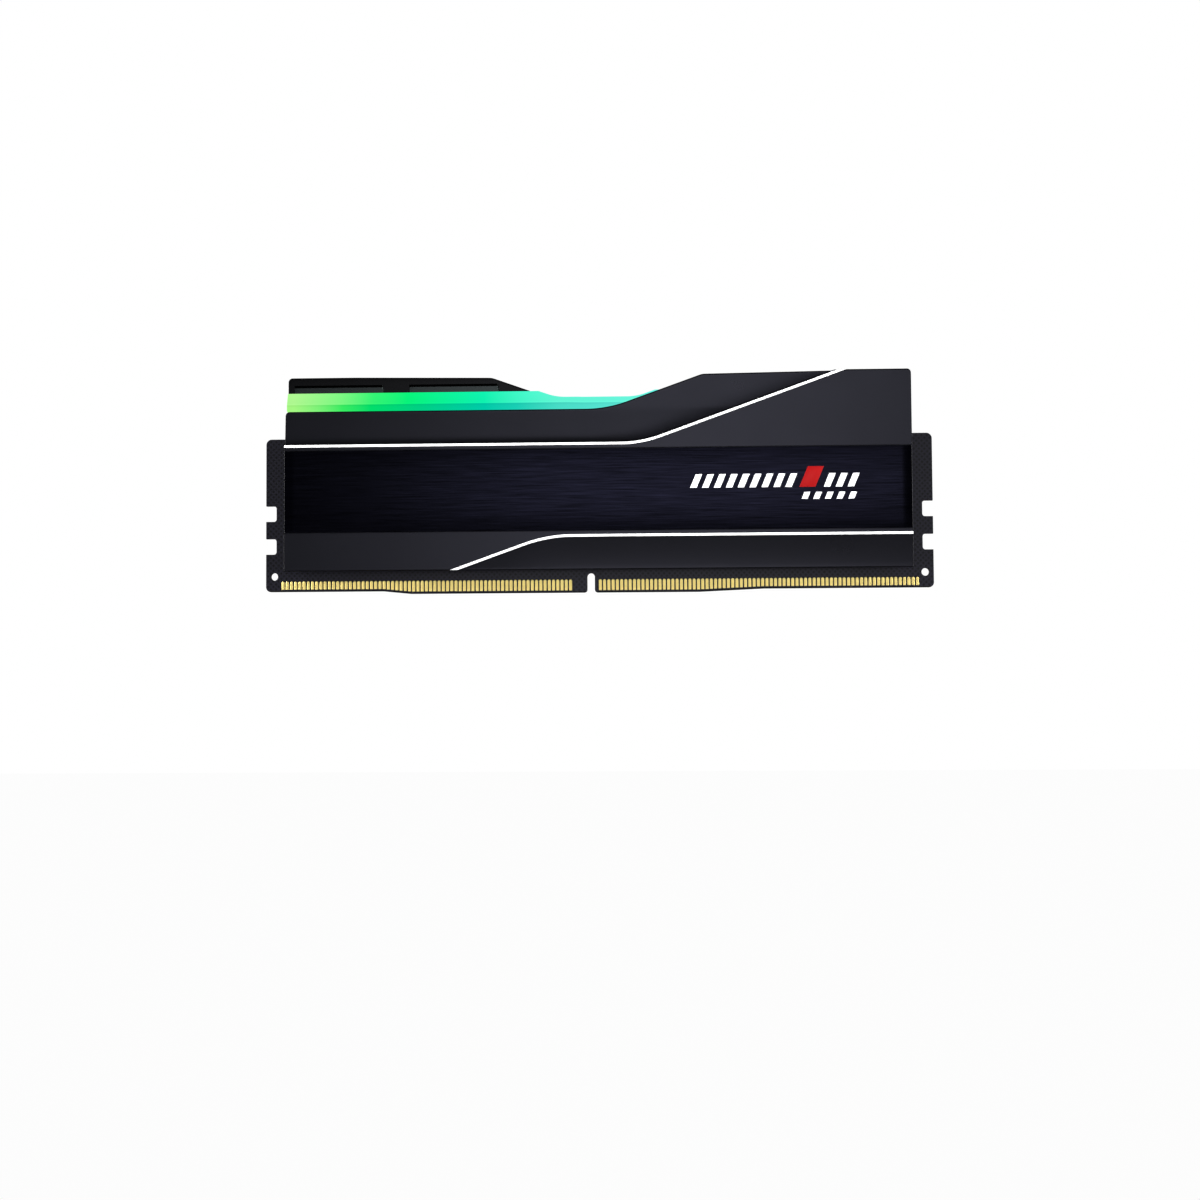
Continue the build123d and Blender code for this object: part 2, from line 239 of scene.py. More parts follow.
def bend(x, corner, before, after, radius):
    """Height of a line that turns from one slope to another at a corner rounded by an arc.

    The arc starts radius * tan(turn / 2) before the corner; its centre lies square to the first line.
    """
    a, b = math.atan(before), math.atan(after)
    side = math.copysign(1.0, b - a)
    reach = radius * math.tan(abs(b - a) / 2)
    start_x = corner[0] - reach * math.cos(a)
    start_z = corner[1] - reach * math.sin(a)
    end_x = corner[0] + reach * math.cos(b)
    centre_x = start_x - side * radius * math.sin(a)
    centre_z = start_z + side * radius * math.cos(a)
    arc = centre_z - side * np.sqrt(np.maximum(radius**2 - (x - centre_x) ** 2, 0))
    line = corner[1] + np.where(x < corner[0], before, after) * (x - corner[0])
    return np.where((x > start_x) & (x < end_x), arc, line)


def rounding(distance, radius):
    """How far a rounded edge of that radius falls back at a distance from the edge."""
    inside = np.clip(radius - distance, 0, radius)
    return radius - np.sqrt(radius**2 - inside**2)


crest_line_x = upper_line[0] + (crest - upper_line[1]) / slope
crest_slope = (crest - crest_corner[1]) / (crest_line_x - crest_corner[0])
slope_foot = (crest_corner[0] - (crest_corner[1] - low_edge) / slope, low_edge)


def shell_top(x):
    """Height of a shell's upper edge: low, then a wide sweep up to the crest, rounded at both ends."""
    sweep = bend(x, slope_foot, 0.0, slope, sweep_radius)
    shoulder = bend(x, crest_corner, slope, crest_slope, crest_radius)
    height = np.where(x < (slope_foot[0] + crest_corner[0]) / 2, sweep, shoulder)
    height = np.minimum(height, crest)
    return height - rounding(half_length - np.abs(x), corner_radius)


def upper_ridge(x, shift=0.0):
    """Height of the upper line's outer edge, moved square to itself by shift."""
    shift = shift + line_width / 2
    corner = (upper_line[0] - shift * half_slope, upper_line[1] + shift)
    return bend(x, corner, 0.0, slope, upper_radius - shift)


def lower_ridge(x, shift=0.0):
    """Height of the lower line's outer edge, moved square to itself by shift."""
    shift = shift - line_width / 2
    corner = (lower_line[0] - shift * half_slope, lower_line[1] + shift)
    return bend(x, corner, slope, 0.0, lower_radius + shift)


# %% [markdown]
# ## Camera, floor and light
# The camera looks from a little below and a little to the right, which lets the crest stand tall. Its
# axes are worked out from three angles. The floor lies well below the module and is near white, like
# a sweep of paper. The paper and the world are white to the camera alone: for reflections they are
# darker, which keeps black metal black on a white ground. One soft box stands behind the camera. Its
# mirror image in a flat shell is narrower than the module, so the metal is brightest in the middle
# and falls off towards the ends. A second box does the same for the back, and four large ones at the
# sides, almost level with the faces, light the enamel and the gold.

# %% Camera
yaw, pitch, roll = (math.radians(angle) for angle in (2.82, 3.76, 0.371))
distance = 480.0
target = np.array([0.0, 0.0, 22.2])
right = np.array([math.cos(yaw), math.sin(yaw), 0.0])
level = np.array([-math.sin(yaw), math.cos(yaw), 0.0])
ahead = level * math.cos(pitch) + np.array([0, 0, 1.0]) * math.sin(pitch)
above = np.array([0, 0, 1.0]) * math.cos(pitch) - level * math.sin(pitch)
camera_x = right * math.cos(roll) - above * math.sin(roll)
camera_y = right * math.sin(roll) + above * math.cos(roll)

camera = bpy.data.cameras.new("camera")
camera.lens = 71.9
camera.sensor_width = 36.0
camera.shift_x = 0.0023
camera.shift_y = -0.0987
camera.clip_start = 0.01
camera_object = bpy.data.objects.new("camera", camera)
matrix = np.eye(4)
matrix[:3, 0], matrix[:3, 1], matrix[:3, 2] = camera_x, camera_y, -ahead
matrix[:3, 3] = (target - distance * ahead) * MM
camera_object.matrix_world = Matrix(matrix.tolist())
bpy.context.scene.collection.objects.link(camera_object)
bpy.context.scene.camera = camera_object
print("camera at", np.round(matrix[:3, 3], 4))


# %% Floor and lights
paper, tree = new_material("white_paper_sweep")
path = add(tree, "ShaderNodeLightPath")
sheet = add(tree, "ShaderNodeBsdfPrincipled", {"Base Color": linear("#5a5a5a"), "Roughness": 0.9})
lit = add(tree, "ShaderNodeEmission", {"Color": linear("#fdfdfd"), "Strength": 1.0})
both = add(tree, "ShaderNodeMixShader", {
    0: path.outputs["Is Camera Ray"], 1: sheet.outputs[0], 2: lit.outputs[0]})
add(tree, "ShaderNodeOutputMaterial", {"Surface": both.outputs[0]})
half_sheet, floor_z = 3.0, -0.2
floor_mesh = bpy.data.meshes.new("floor")
floor_mesh.from_pydata([(x * half_sheet, y * half_sheet, floor_z)
                        for x, y in ((-1, -1), (1, -1), (1, 1), (-1, 1))], [], [(0, 1, 2, 3)])
floor_mesh.materials.append(paper)
floor = bpy.data.objects.new("floor", floor_mesh)
bpy.context.scene.collection.objects.link(floor)


def soft_box(name, place, aim, size, power):
    """A rectangular area light at a place, turned towards a point, in metres and watts."""
    lamp = bpy.data.lights.new(name, "AREA")
    lamp.shape = "RECTANGLE"
    lamp.size, lamp.size_y = size
    lamp.energy = power
    thing = bpy.data.objects.new(name, lamp)
    from_light = np.array(aim, float) - np.array(place, float)
    z_axis = -from_light / np.linalg.norm(from_light)
    x_axis = np.cross([0, 0, 1.0], z_axis)
    x_axis /= np.linalg.norm(x_axis)
    y_axis = np.cross(z_axis, x_axis)
    pose = np.eye(4)
    pose[:3, 0], pose[:3, 1], pose[:3, 2], pose[:3, 3] = x_axis, y_axis, z_axis, place
    thing.matrix_world = Matrix(pose.tolist())
    bpy.context.scene.collection.objects.link(thing)


middle_z = 0.022
face_box_away, face_box_shift, face_box_z = 1.0, 0.008, 0.11
face_box_size, face_box_power = (0.30, 0.50), 0.95
for name, side in (("front_box", -1), ("back_box", 1)):
    across = -side * face_box_shift
    soft_box(name, (across, side * face_box_away, face_box_z), (across, 0.0, middle_z),
             face_box_size, face_box_power)

side_box_along, side_box_away, side_box_z = 0.856, 0.278, 0.06
side_box_size, side_box_power = (0.5, 1.0), 33.0
for side in (-1, 1):
    for end in (-1, 1):
        soft_box(f"side_box_{side}_{end}".replace("-", "m"),
                 (end * side_box_along, side * side_box_away, side_box_z), (0.0, 0.0, middle_z),
                 side_box_size, side_box_power)

world = bpy.data.worlds.new("studio")
bpy.context.scene.world = world
world.use_nodes = True
tree = world.node_tree
tree.nodes.clear()
path = add(tree, "ShaderNodeLightPath")
seen = add(tree, "ShaderNodeBackground", {"Color": (1, 1, 1, 1), "Strength": 1.0})
lighting = add(tree, "ShaderNodeBackground", {"Color": linear("#e6ecf5"), "Strength": 0.12})
both = add(tree, "ShaderNodeMixShader", {
    0: path.outputs["Is Camera Ray"], 1: lighting.outputs[0], 2: seen.outputs[0]})
add(tree, "ShaderNodeOutputWorld", {"Surface": both.outputs[0]})
view_gamma = 0.8
bpy.context.scene.view_settings.view_transform = "Standard"
bpy.context.scene.view_settings.gamma = view_gamma

# %% [markdown]
# ## Finishes
# Each finish is named for what it is made of and how. The shells are fine-blasted, black anodised
# aluminium: a dark dyed oxide whose sheen is broad, because the blasting leaves a grain of a few
# hundredths of a millimetre. It is drawn at 0.25 mm, which is as fine as a picture of the whole
# module can show.

# %% Blasted black anodised aluminium
def blasted_anodised(name, swatch, roughness):
    """Black anodised aluminium with a blasted grain: noise in the bump and a little in the gloss.

    Three tones by distance from the middle plane are painted light and shade: a darker inner crest
    face as painted shade, a lighter greenish slot floor as the bar's painted glow, and a black line as
    their painted shadow. Everything further out has the full tone, except the rims at the ends and the
    foot, which are painted darker: painted shade.
    """
    material, tree = new_material(name)
    axes = axes_of(tree)
    grain = noise(tree, size_mm=0.25, detail=2.0, roughness=0.6)
    cloud = noise(tree, size_mm=9.0)
    gloss = span(tree, cloud, 0.2, 0.8, roughness - 0.01, roughness + 0.02)
    # painted shade on the inner crest face, painted light from the bar's glow on the slot floor, painted
    # shadow in the slot's shadow line
    tone_from, tone_to = 0.8, 1.8
    shade_and_glow_tones = ((0.0, "#2b2b2d"), (0.3, "#4a4f50"), (0.65, "#050505"), (0.95, swatch))
    away = span(tree, maths(tree, "ABSOLUTE", axes["Y"]), tone_from * MM, tone_to * MM)
    tone = ramp(tree, away, [(position, linear(colour)) for position, colour in shade_and_glow_tones], "CONSTANT")
    # painted shade: the rims at the ends and the foot are drawn darker
    painted_end_shade_mm, painted_foot_shade_mm = 0.1, 0.08
    off_middle = maths(tree, "ABSOLUTE", axes["X"])
    painted_end_shade = maths(tree, "GREATER_THAN", off_middle, (half_length - painted_end_shade_mm) * MM)
    painted_foot_shade = maths(tree, "LESS_THAN", axes["Z"], (foot + painted_foot_shade_mm) * MM)
    rim = maths(tree, "MAXIMUM", painted_end_shade, painted_foot_shade)
    finish_tree(tree, {
        "Base Color": mix(tree, rim, tone, linear("#0b0b0c")), "Metallic": 1.0, "Roughness": gloss,
        "Normal": bump(tree, grain, 0.05)})
    return material


shell_finish = blasted_anodised("blasted_black_anodised_aluminium", "#3d3d44", 0.28)


# %% Long-grain brushed black anodised aluminium
def brushed_anodised(name):
    """Black anodised aluminium brushed along the band.

    The hairs are noise drawn out along X, and the highlight is stretched square to them. The sawn
    ends are painted darker, as painted shade.
    """
    material, tree = new_material(name)
    axes = axes_of(tree)
    hair_mm = (9.0, 1.0, 0.2)
    stretch = add(tree, "ShaderNodeMapping", {
        "Vector": place_of(tree), "Scale": tuple(1 / (size * MM) for size in hair_mm)})
    hair = add(tree, "ShaderNodeTexNoise", {
        "Vector": stretch.outputs["Vector"], "Scale": 1.0, "Detail": 3.0, "Roughness": 0.65}).outputs["Fac"]
    tone = ramp(tree, hair, ((0.30, linear("#13131b")), (0.75, linear("#2b2b3b"))))
    # painted shade: the band's ends are drawn darker
    painted_end_shade_mm = 0.15
    off_middle = maths(tree, "ABSOLUTE", axes["X"])
    painted_end_shade = maths(tree, "GREATER_THAN", off_middle, (half_length - painted_end_shade_mm) * MM)
    along = add(tree, "ShaderNodeTangent", direction_type="UV_MAP", uv_map="sheet")
    finish_tree(tree, {
        "Base Color": mix(tree, painted_end_shade, tone, linear("#060607")), "Metallic": 1.0, "Roughness": 0.22,
        "Anisotropic": 0.4, "Anisotropic Rotation": 0.25, "Normal": bump(tree, hair, 0.15),
        "Tangent": along.outputs["Tangent"]})
    return material


band_finish = brushed_anodised("brushed_black_anodised_aluminium")


# %% Plain finishes: enamel, gold, epoxy, silicone, ceramic
def plain_finish(name, swatch, roughness, metallic=0.0, speck_mm=0.3, speck=0.15, ior=1.5):
    """A uniform finish with a fine speckle in its tone and a soft bump of the same size.

    A metal keeps the shader's own index of refraction.
    """
    material, tree = new_material(name)
    speckle = noise(tree, speck_mm)
    colour = linear(swatch)
    dark = tuple(channel * (1 - speck) for channel in colour[:3]) + (1.0,)
    inputs = {"Base Color": mix(tree, speckle, dark, colour), "Metallic": metallic, "Roughness": roughness,
              "Normal": bump(tree, speckle, 0.08)}
    if not metallic:
        inputs["IOR"] = ior
    finish_tree(tree, inputs)
    return material


line_finish = plain_finish("white_line_enamel", "#f6f6f6", 0.35, speck=0.03)
gold_finish = plain_finish("hard_gold_plating", "#ffeca0", 0.42, metallic=1.0, speck_mm=0.8, speck=0.12)
epoxy_finish = plain_finish("moulded_black_epoxy", "#1d1d1f", 0.45, speck_mm=0.12, speck=0.3)
silicone_finish = plain_finish("grey_silicone_pad", "#8d97a3", 0.8, speck_mm=0.4, speck=0.2, ior=1.41)
ferrite_finish = plain_finish("moulded_ferrite", "#4a4a4e", 0.6, speck_mm=0.1, speck=0.4)
ceramic_finish = plain_finish("sintered_capacitor_ceramic", "#9b7d5c", 0.5, speck_mm=0.1, speck=0.2)
glaze_finish = plain_finish("glazed_resistor_film", "#26262b", 0.3, speck_mm=0.1, speck=0.2)
lens_finish = plain_finish("moulded_diode_lens", "#e8e0b8", 0.25, speck_mm=0.2, speck=0.1)


# %% Solder mask over hatched copper
def solder_mask(name):
    """Black solder mask: two sets of diagonal copper lines show through as a soft relief.

    They are drawn 0.75 mm apart, coarser than real ones, so that a picture of the whole module shows
    them. A wave texture has 20 radians to the unit at scale 1, hence its scale. The board's cut edge
    is bare laminate, dark and rough.
    """
    material, tree = new_material(name)
    hatch_mm = 0.75
    waves = []
    for turn in (45, -45):
        turned = add(tree, "ShaderNodeMapping", {
            "Vector": place_of(tree), "Rotation": (0.0, math.radians(turn), 0.0)})
        wave = add(tree, "ShaderNodeTexWave", {
            "Vector": turned.outputs["Vector"], "Scale": 2 * math.pi / (20 * hatch_mm * MM),
            "Distortion": 0.0}, wave_type="BANDS", bands_direction="X")
        waves.append(wave.outputs["Fac"])
    hatch = maths(tree, "MAXIMUM", *waves)
    tone = mix(tree, hatch, linear("#010102"), linear("#201f29"))
    cut_edge_mm = 0.6
    cut_edge = maths(tree, "LESS_THAN", maths(tree, "ABSOLUTE", axes_of(tree)["Y"]), cut_edge_mm * MM)
    finish_tree(tree, {
        "Base Color": mix(tree, cut_edge, tone, linear("#0a0a0b")),
        "Roughness": span(tree, cut_edge, 0.0, 1.0, 0.33, 0.85), "Specular IOR Level": 0.38,
        "Normal": bump(tree, hatch, 0.35, depth_mm=0.03)})
    return material


mask_finish = solder_mask("black_solder_mask")
print("finishes:", [material.name for material in bpy.data.materials])


# %% [markdown]
# ## The shells
# Each shell is a cold-formed aluminium cover with a flat main face. Beyond its two enamel lines the
# metal is scooped away, and a pocket in the main face takes the brushed band. It could be cut from a
# block with booleans, but their edges are hard to soften. Here the shell is one surface: a closed
# outline square to its length, which changes along that length. Its rows follow the edge lines, so
# every ridge stays crisp, and rows that would run past the shell's edge are clipped on it.

# %% The columns along a shell
slot_length, slot_slant, slot_depth = 18.5, 0.8, 0.4
slot_low, slot_high = crest - 4.55, crest - 1.55
slot_shadow, shadow_depth = 0.45, 0.35
slot_lefts = [right - slot_length for right in (61.2, 37.9)]
slot_left_wall, slot_right_wall = 0.1, 0.08
end_round = 0.08


def columns_along(half, spacing, dense, edge):
    """Places along X: an even spacing, plus dense runs (start, end, step) and closer ones at the ends."""
    places = [np.linspace(-half, half, int(2 * half / spacing) + 1)]
    places += [np.arange(start, end, step) for start, end, step in dense]
    near = edge * (1 - np.cos(np.linspace(0, math.pi / 2, 6)))
    past_edge = edge + 0.03
    places += [-half + near, half - near, [-half + past_edge, half - past_edge]]
    return np.unique(np.round(np.concatenate(places), 4))


# closer columns where an edge turns or runs out: a slot's ends, the crest, the lower line's foot, the ends
fine, crest_run, end_run, line_foot_run = 0.1, 2.5, 1.2, (-31.5, -26.5)
slot_ends = [(left - 0.1, left + slot_slant + 0.15, 0.05) for left in slot_lefts]
slot_ends += [(left + slot_length - 0.06, left + slot_length + 0.07, 0.04) for left in slot_lefts]
shell_x = columns_along(half_length, 0.5, slot_ends + [
    (crest_line_x - crest_run, crest_line_x + crest_run, fine),
    (*line_foot_run, fine),
    (-half_length, -half_length + end_run, fine),
    (half_length - end_run, half_length, fine)], end_round)
print(f"{len(shell_x)} columns along a shell")


# %% The outer face, row by row
nick = 0.06
pocket_spare, pocket_clearance = 0.4, 0.1
lower_reach, lower_depth, lower_width, lower_power = 9.0, 1.0, 7.0, 1.4
upper_reach, lean_depth, lean_power = 15.5, 0.17, 3
ledge_start, ledge_lean, ledge_crown, ledge_width, ledge_power = 0.9, 0.6, 0.35, 0.35, 4
spread_left, spread_gain, spread_run = 1.9, 2.8, 18.0


def scoop(distance, start, end, width, power):
    """Depth beyond a line: eases from a start to an end over a width, steeply at first.

    The fall is 1 - (1 - t) ** power, with t the distance from the line divided by the width.
    """
    t = np.clip(distance / width, 0, 1)
    return start + (end - start) * (1 - (1 - t) ** power)


def outer_rows(x):
    """Heights and depths of the outer face at each x, from below the foot to above the crest.

    Below the lower line the metal falls away in one scoop. Above the upper line it drops to a ledge,
    which lies deeper towards the crest, and then leans back gently. Rows crowd together at the lines.
    """
    lower_outer, lower_inner = lower_ridge(x), lower_ridge(x, line_width)
    upper_outer, upper_inner = upper_ridge(x), upper_ridge(x, -line_width)
    pocket = face_y + band_low[1] + pocket_spare
    pocket_low, pocket_high = band_low[2] - pocket_clearance, band_high[2] + pocket_clearance
    heights, depths = [], []

    def row(z, depth):
        heights.append(np.broadcast_to(z, x.shape).astype(float))
        depths.append(np.broadcast_to(depth, x.shape).astype(float))

    for t in np.linspace(1, 0, 16) ** 1.6:
        z = lower_outer - t * lower_reach
        row(z, scoop((lower_outer - z) * tilt, line_depth, lower_depth, lower_width, lower_power))
    row(lower_inner, line_depth)
    row(lower_inner, nick)
    row(lower_inner + nick, 0)
    row(np.maximum(lower_inner + nick, pocket_low - nick), 0)
    row(np.maximum(lower_inner + nick, pocket_low), nick)
    row(np.maximum(lower_inner + nick, pocket_low), pocket)
    row(pocket_high, pocket)
    row(pocket_high, nick)
    row(pocket_high + nick, 0)
    row(upper_inner - nick, 0)
    row(upper_inner, nick)
    row(upper_inner, line_depth)
    spread = spread_left + spread_gain * np.clip(x / spread_run, 0, 1)
    for t in np.linspace(0, 1, 34) ** 2.2:
        z = upper_outer + t * upper_reach
        lean = np.clip((z - upper_line[1]) / (low_edge - upper_line[1]), 0, 1)
        crown = np.clip((z - low_edge) / (crest - low_edge), 0, 1)
        beyond = (z - upper_outer) * tilt
        ledge_depth = ledge_start + ledge_lean * lean + ledge_crown * crown
        ledge = scoop(beyond, line_depth, ledge_depth, ledge_width, ledge_power)
        row(z, ledge + scoop(beyond, 0.0, lean_depth, spread, lean_power))
    return np.array(heights).T, np.array(depths).T


def clip_rows(heights, depths, low, high):
    """Holds each column's rows between two heights; a row outside takes the profile's place there."""
    last = heights.shape[1] - 1
    column = np.arange(len(heights))
    for limit, way in ((low, -1), (high, 1)):
        outside = way * heights > way * limit[:, None]
        count = outside.sum(1)
        near = np.clip(count if way < 0 else last - count, 0, last)
        beyond = np.clip(near + way, 0, last)
        z0, z1 = heights[column, near], heights[column, beyond]
        d0, d1 = depths[column, near], depths[column, beyond]
        gap = np.where(np.abs(z1 - z0) > 1e-9, z1 - z0, 1.0)
        share = np.where(count > 0, np.clip((limit - z0) / gap, 0, 1), 0)
        edge_depth = d0 + share * (d1 - d0)
        heights = np.where(outside, limit[:, None], heights)
        depths = np.where(outside, edge_depth[:, None], depths)
    return heights, depths


# %% One shell as a closed surface
def slot_share(x, z):
    """1 inside a slot at height z, with its left end slanted, and 0 outside it."""
    share = (z - slot_low) / (slot_high - slot_low)
    held = np.zeros_like(x)
    for left in slot_lefts:
        past_left = np.clip((x - left - slot_slant * share) / slot_left_wall + 0.5, 0, 1)
        before_right = np.clip((left + slot_length - x) / slot_right_wall + 0.5, 0, 1)
        held = np.maximum(held, past_left * before_right)
    return held


def shell_points(x):
    """Points of the front shell: x along it, -y outwards, as closed outlines of equal row count."""
    inset = rounding(half_length - np.abs(x), end_round)
    top = shell_top(x) - inset
    bottom = foot + inset
    edge, foot_edge, hold = 0.25, 0.12, 0.03
    heights, depths = clip_rows(*outer_rows(x), bottom + foot_edge + hold, top - edge - hold)
    outward = face_y - depths - inset[:, None]
    arc = np.linspace(0, math.pi / 2, 5)
    low_arc = [(bottom + foot_edge * (1 - np.sin(a)), outward[:, 0] - foot_edge * (1 - np.cos(a)))
               for a in arc[::-1]]
    high_arc = [(top - edge * (1 - np.sin(a)), outward[:, -1] - edge * (1 - np.cos(a))) for a in arc]
    inner_top = gap_y + inset
    inside = [(top - edge * (1 - np.cos(a)), inner_top + edge * (1 - np.sin(a))) for a in arc]

    shadow_low = slot_high - slot_shadow
    deep = slot_depth + shadow_depth
    levels = [(slot_high, 0), (slot_high, deep), (shadow_low, deep), (shadow_low, slot_depth)]
    levels += [(z, slot_depth) for z in np.linspace(shadow_low, slot_low, 6)[1:]]
    levels += [(slot_low, 0)]
    inside += [(np.minimum(z, top - edge), inner_top + depth * slot_share(x, z)) for z, depth in levels]
    shoulder, cavity = np.full_like(x, shoulder_z), cavity_y + inset
    inside += [(shoulder, inner_top), (shoulder, cavity), (bottom, cavity)]
    z = np.column_stack([row[0] for row in low_arc] + [heights] + [row[0] for row in high_arc + inside])
    y = -np.column_stack([row[1] for row in low_arc] + [outward] + [row[1] for row in high_arc + inside])
    return np.stack([np.broadcast_to(x[:, None], z.shape), y, z], -1)


grid = shell_points(shell_x)
faces = tube_faces(*grid.shape[:2])
points = grid.reshape(-1, 3)
shell_front = piece("shell_front", points, faces, shell_finish)
shell_back = piece("shell_back", half_turn(points), faces, shell_finish)
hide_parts("spreader_front")
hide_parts("spreader_back")

# %% [markdown]
# ## The brushed bands
# A thin aluminium strip lies in each shell's pocket, a tenth of a millimetre clear of its walls. It is
# a flat plate with broken edges: one closed outline carried along X. The brushing runs along the
# band, so the plate gets a flat UV sheet, from which the shader takes the direction of the hairs.

# %% Bands
def rounded_box(low, high, edge, spacing=2.0, steps=3):
    """A box whose twelve edges are broken: a rounded YZ outline carried along X, shrinking at both ends.

    Each outline point is a corner centre plus edge times (cos, sin) of its angle.
    """
    low, high = np.asarray(low, float), np.asarray(high, float)
    arc = np.linspace(0, math.pi / 2, steps + 1)
    near = edge * (1 - np.sin(arc))[::-1]
    count = max(2, int((high[0] - low[0] - 2 * edge) / spacing) + 1)
    x = np.concatenate([low[0] + near, np.linspace(low[0] + edge, high[0] - edge, count)[1:-1],
                        (high[0] - near)[::-1]])
    x = np.unique(np.round(x, 5))
    fall = rounding(np.minimum(x - low[0], high[0] - x), edge)[:, None]
    angle = np.concatenate([arc + quarter * math.pi / 2 for quarter in range(4)])
    side_y = np.repeat([1, -1, -1, 1], steps + 1)
    side_z = np.repeat([1, 1, -1, -1], steps + 1)
    middle = (low + high) / 2
    half = (high - low) / 2
    y = middle[1] + side_y * (half[1] - edge) + np.maximum(edge - fall, 0) * np.cos(angle)
    z = middle[2] + side_z * (half[2] - edge) + np.maximum(edge - fall, 0) * np.sin(angle)
    return np.stack([np.broadcast_to(x[:, None], y.shape), y, z], -1)


def sheet_uv(thing):
    """A flat UV sheet over X and Z, one unit to a decimetre, for a finish that has a direction."""
    mesh = thing.data
    layer = mesh.uv_layers.new(name="sheet")
    corner = np.empty(len(mesh.loops), dtype=np.int32)
    mesh.loops.foreach_get("vertex_index", corner)
    place = np.empty(3 * len(mesh.vertices), dtype=np.float32)
    mesh.vertices.foreach_get("co", place)
    place = place.reshape(-1, 3)[corner]
    layer.data.foreach_set("uv", (place[:, [0, 2]] * 10).ravel())


band_edge = 0.06
grid = rounded_box(band_low, band_high, band_edge)
faces = tube_faces(*grid.shape[:2])
points = grid.reshape(-1, 3)
for name, place in (("front", points), ("back", half_turn(points))):
    band = piece(f"brushed_band_{name}", place, faces, band_finish)
    sheet_uv(band)
    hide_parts(f"band_{name}")

# %% [markdown]
# ## The light bar
# The bar is moulded from milky polycarbonate. Its stem stands between the shells, and on each half
# one side widens into a head that lies on the other shell's low edge. The head has an upright lower
# facet and an upper facet that leans back, with a dip in the middle. It is one closed outline carried
# along X. Eight diodes light it from below, so its glow is a colour gradient along X. A moulded
# diffuser sends out less light from the lower facet, which turns away from the diodes.

# %% Glow
upper_glow = (
    (-61.0, "#aff991"), (-51.5, "#7cf982"), (-45.0, "#32f574"), (-38.0, "#05f47a"), (-22.5, "#0cf3b0"),
    (-14.0, "#46f8cc"), (-7.5, "#61f8d6"), (7.5, "#69fae0"), (22.5, "#4fe9f2"), (37.5, "#34c8fa"),
    (52.5, "#3ba6fb"), (61.0, "#5a9cfb"))
lower_glow = (
    (-61.0, "#a5f882"), (-56.0, "#7cf377"), (-51.0, "#35ec61"), (-45.5, "#01de69"), (-36.0, "#00d082"),
    (-22.5, "#00caa8"), (-16.0, "#16ceb4"), (-7.5, "#47dcc6"), (7.5, "#5ee8d8"), (22.5, "#38cfe6"),
    (37.5, "#18a8ec"), (52.5, "#1c86ee"), (61.0, "#3c7eee"))
crease_z, seat_z, bar_top, bar_dip = low_edge + 1.4, low_edge + 0.1, low_edge + 3.85, low_edge + 2.55
head_y, facet_run, half_bar = 1.9, 1.2, bar_high[0]


def glowing_diffuser(name):
    """Milky polycarbonate lit from inside: colour runs along X, strength changes with height.

    The view's gamma would change these colours, so each swatch is first raised to the power that
    undoes it.
    """
    material, tree = new_material(name)
    axes = axes_of(tree)
    along = span(tree, axes["X"], -half_bar * MM, half_bar * MM)
    hues = []
    for glow in (lower_glow, upper_glow):
        stops = [((at + half_bar) / (2 * half_bar), [channel**view_gamma for channel in linear(swatch)])
                 for at, swatch in glow]
        hues.append(ramp(tree, along, stops))
    half_crease = 0.05
    facet = span(tree, axes["Z"], (crease_z - half_crease) * MM, (crease_z + half_crease) * MM)
    hue = mix(tree, facet, *hues)
    crease = (crease_z - seat_z) / (bar_top - seat_z)
    levels = ((0.0, 1.0), (crease - 0.12, 0.97), (crease - 0.02, 0.90), (crease + 0.02, 1.0),
              (crease + 0.12, 0.96), (1.0, 1.0))
    level = ramp(tree, span(tree, axes["Z"], seat_z * MM, bar_top * MM),
                 [(position, (value, value, value, 1.0)) for position, value in levels])
    finish_tree(tree, {
        "Base Color": mix(tree, 1.0, hue, (0.01, 0.01, 0.01, 1.0), "MULTIPLY"), "Roughness": 0.55,
        "IOR": 1.58, "Specular IOR Level": 0.0, "Emission Color": mix(tree, 1.0, hue, level, "MULTIPLY"),
        "Emission Strength": 1.0})
    return material


bar_finish = glowing_diffuser("milky_polycarbonate_diffuser")


# %% Bar
dip_corner_x, dip_radius, dip_run = 11.7, 11.0, 13.5
head_start, head_taper = 2.5, 3.5
bar_end_round, stem_round, bar_edge = 0.5, 0.2, 0.12


def bar_top_line(x):
    """Height of the bar's top: level, with a dip in the middle whose foot is an arc on each side."""
    foot_x = dip_corner_x - (bar_top - bar_dip) / slope
    return np.minimum(bend(np.abs(x), (foot_x, bar_dip), 0.0, slope, dip_radius), bar_top)


